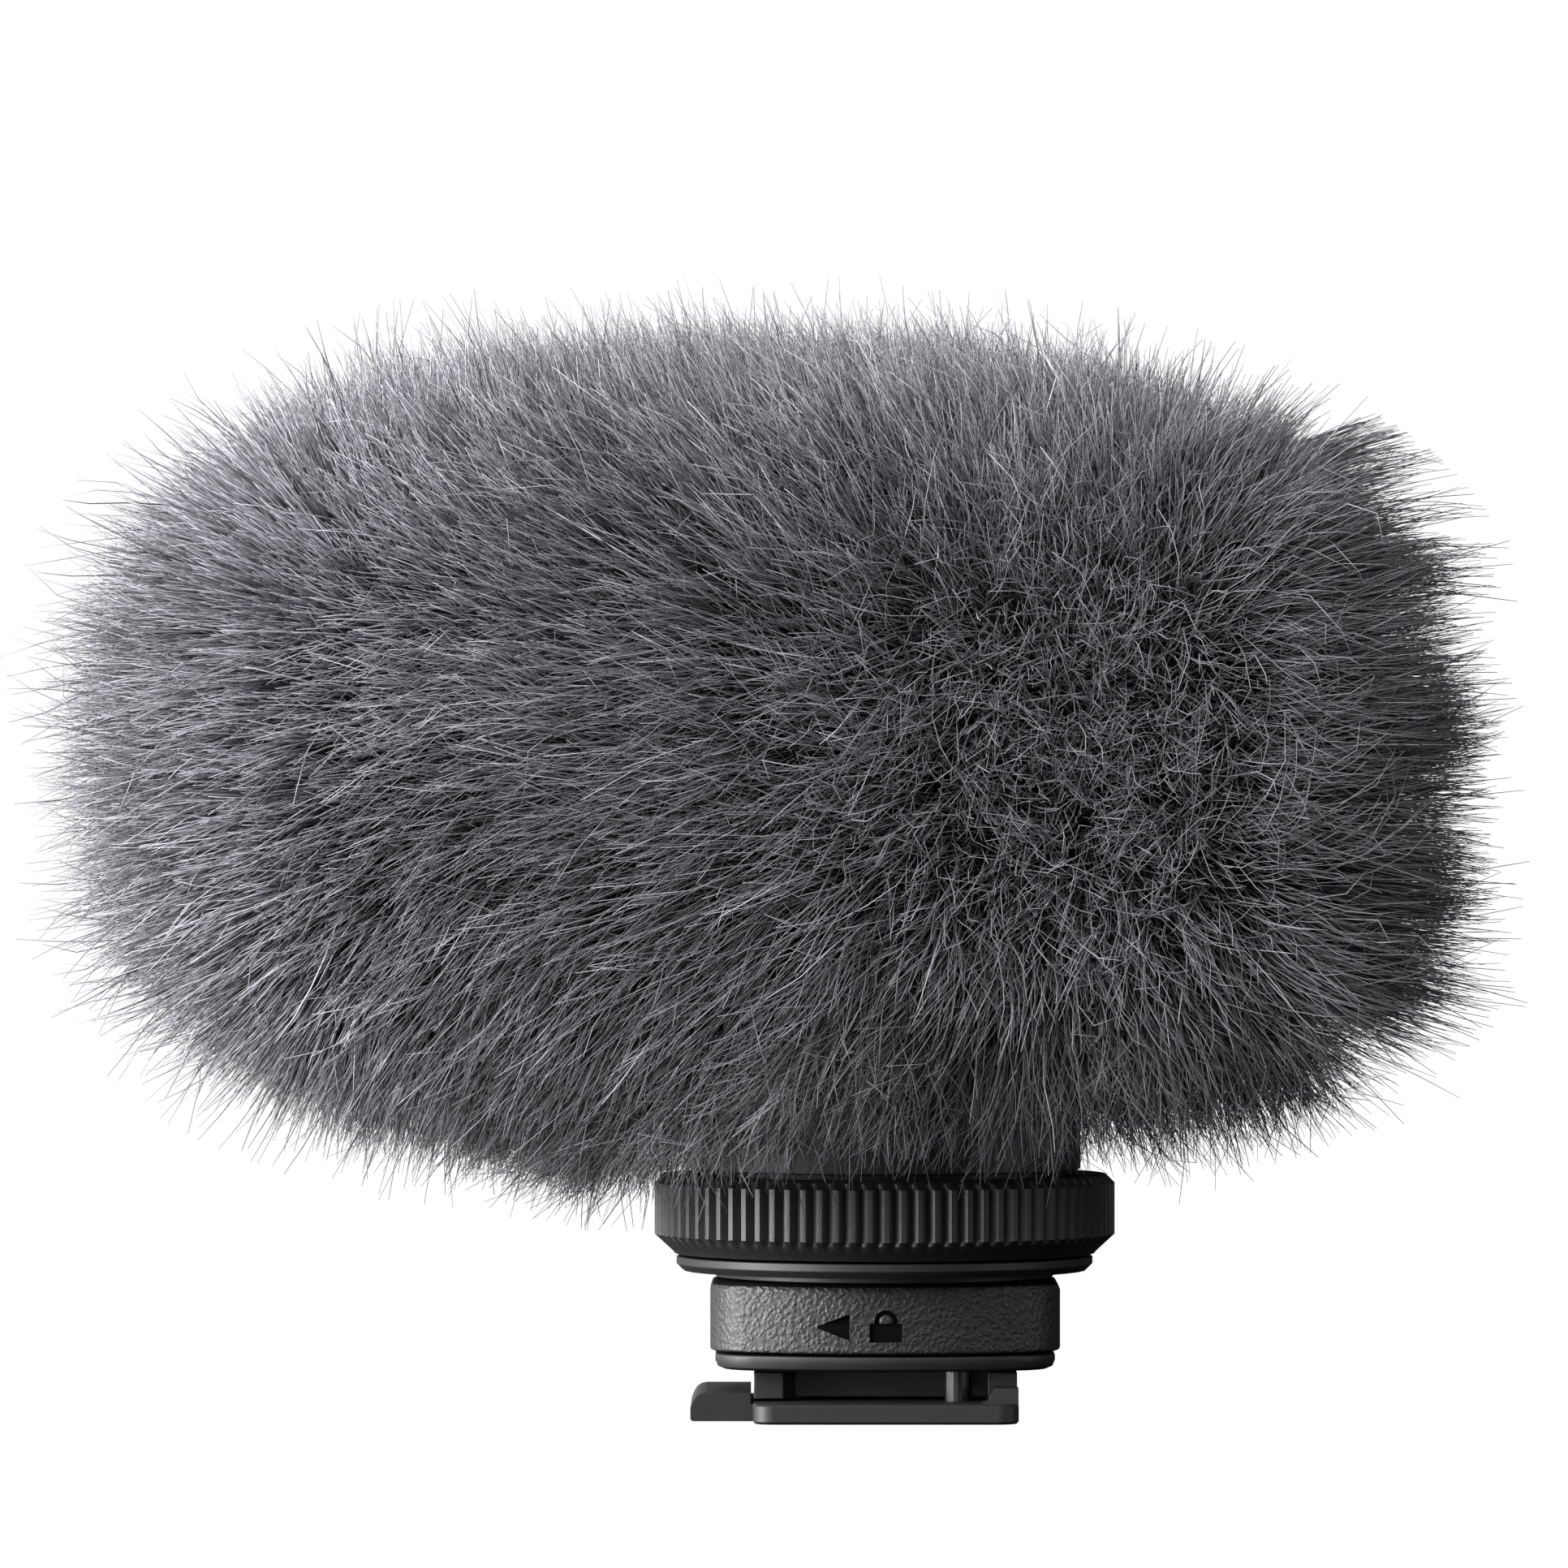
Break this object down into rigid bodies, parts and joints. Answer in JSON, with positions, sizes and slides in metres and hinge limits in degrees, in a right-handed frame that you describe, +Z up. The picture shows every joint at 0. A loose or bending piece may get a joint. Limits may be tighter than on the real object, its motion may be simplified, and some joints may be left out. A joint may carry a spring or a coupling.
{
  "type": "furry windscreen microphone",
  "caption": "Long-pile furry windscreen fitted on a compact on-camera microphone with a knurled lock ring, grained collar and multi-contact shoe foot.",
  "frame": {"origin": "centre of the shoe foot's underside, the face that goes down in a camera's accessory shoe", "axes": "+Z up through the lock ring's axis; the microphone points along -X, its rear panel faces +X; the collar's engraved face looks along -Y"},
  "size_m": [0.0761, 0.0472, 0.0623],
  "materials": {
    "fur": "long-pile synthetic fur, grey over near-black roots",
    "backing": "knitted fur backing",
    "spacer": "open spacer knit",
    "binding": "woven edge tape",
    "elastic": "covered elastic",
    "black_plastic": "fine moulded texture, satin",
    "grained_plastic": "coarse leather-like moulded grain",
    "grille_paint": "matt black paint",
    "mesh_steel": "blackened fine mesh",
    "steel": "plain",
    "dark_steel": "blackened",
    "board": "solder-masked circuit board",
    "rubber": "soft matt rubber",
    "contact_gold": "gold-plated",
    "film": "amber flexible film"
  },
  "bodies": {
    "microphone": {"capsule_1": "steel", "capsule_2": "steel", "capsule_3": "steel", "capsule_4": "steel", "capsule_chassis": "black_plastic", "collar": "grained_plastic", "contact_block": "black_plastic", "contact_strip_1": "contact_gold", "contact_strip_2": "contact_gold", "contact_strip_3": "contact_gold", "contact_strip_4": "contact_gold", "contact_strip_5": "contact_gold", "contact_strip_6": "contact_gold", "encoder": "steel", "filter_switch_body": "steel", "foot_neck": "black_plastic", "foot_plate": "black_plastic", "foot_screw_1": "dark_steel", "foot_screw_2": "dark_steel", "foot_screw_3": "dark_steel", "foot_screw_4": "dark_steel", "gain_switch_body": "steel", "grille": "grille_paint", "housing_bottom": "black_plastic", "housing_screw_1": "dark_steel", "housing_screw_2": "dark_steel", "housing_screw_3": "dark_steel", "housing_screw_4": "dark_steel", "housing_top": "black_plastic", "isolator_1": "rubber", "isolator_2": "rubber", "isolator_3": "rubber", "isolator_4": "rubber", "lock_base": "black_plastic", "lower_plate": "black_plastic", "main_board": "board", "mesh_screen": "mesh_steel", "pin_spring": "steel", "rear_board": "board", "rear_panel": "black_plastic", "ribbon_cable": "film", "shield_can": "steel", "stem": "black_plastic", "stem_screw_1": "dark_steel", "stem_screw_2": "dark_steel", "stem_screw_3": "dark_steel"},
    "windscreen": {"fur_pile": "fur", "backing_fabric": "backing", "spacer_liner": "spacer", "rear_hem": "binding", "hem_elastic": "elastic", "slot_binding": "binding"},
    "lock_ring": {"lock_ring": "black_plastic", "cam_ring": "dark_steel"},
    "lock_pin": {"lock_pin": "dark_steel"},
    "level_dial": {"level_dial": "black_plastic"},
    "gain_switch": {"gain_switch": "dark_steel"},
    "filter_switch": {"filter_switch": "dark_steel"}
  },
  "joints": [
    {"name": "windscreen_slide", "type": "slide", "parent": "microphone", "child": "windscreen", "axis": [-1, 0, 0], "range_m": [0, 0.08]},
    {"name": "lock_ring_turn", "type": "hinge", "parent": "microphone", "child": "lock_ring", "pos_m": [0, 0, 0.0118], "axis": [0, 0, -1], "range_deg": [0, 60]},
    {"name": "lock_pin_slide", "type": "slide", "parent": "microphone", "child": "lock_pin", "axis": [0, 0, -1], "range_m": [0, 0.0012], "deforming": ["pin_spring"]},
    {"name": "level_dial_turn", "type": "hinge", "parent": "microphone", "child": "level_dial", "pos_m": [0.02455, 0, 0.0438], "axis": [1, 0, 0], "range_deg": [-135, 135]},
    {"name": "gain_switch_slide", "type": "slide", "parent": "microphone", "child": "gain_switch", "axis": [0, 1, 0], "range_m": [-0.0015, 0.0015]},
    {"name": "filter_switch_slide", "type": "slide", "parent": "microphone", "child": "filter_switch", "axis": [0, 1, 0], "range_m": [-0.0015, 0.0015]}
  ],
  "couplings": [
    {"joint": "lock_pin_slide", "follows": "lock_ring_turn", "m_per_rad": 0.001145}
  ]
}
